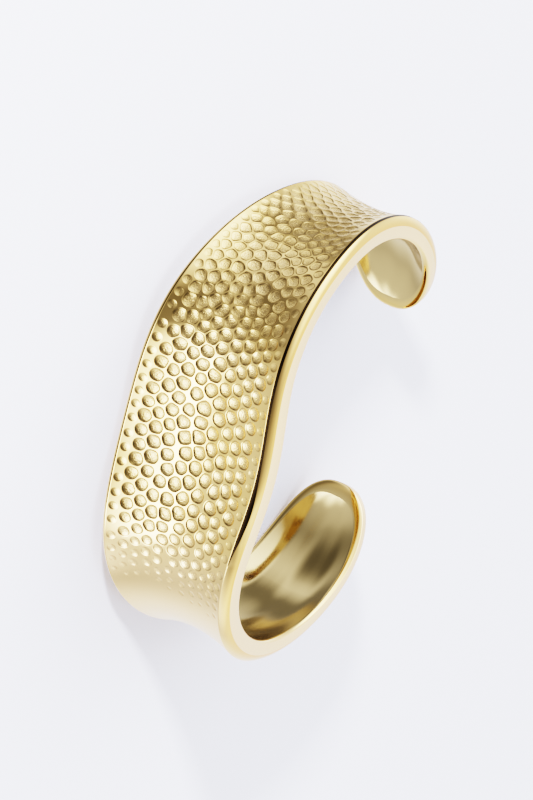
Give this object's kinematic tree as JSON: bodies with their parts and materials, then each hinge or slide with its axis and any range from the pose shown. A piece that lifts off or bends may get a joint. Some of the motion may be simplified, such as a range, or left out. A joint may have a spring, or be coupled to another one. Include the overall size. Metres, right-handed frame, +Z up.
{
  "type": "cuff bangle",
  "caption": "Open cuff bangle: a hammered band that curves in across its width, with smooth rolled rims, a scooped inside and a gap between rounded ends to slip a wrist through.",
  "frame": {"origin": "centre of the bounding box, on the table that the cuff lies on", "axes": "+Z up, along the wrist; +X from the broad front to the gap between the terminals; +Y along the long way of the oval"},
  "size_m": [0.05, 0.0662, 0.0237],
  "materials": {
    "gold": "polished pale yellow gold plate, hammered outside"
  },
  "bodies": {
    "root": {"cuff": "gold"}
  },
  "joints": []
}
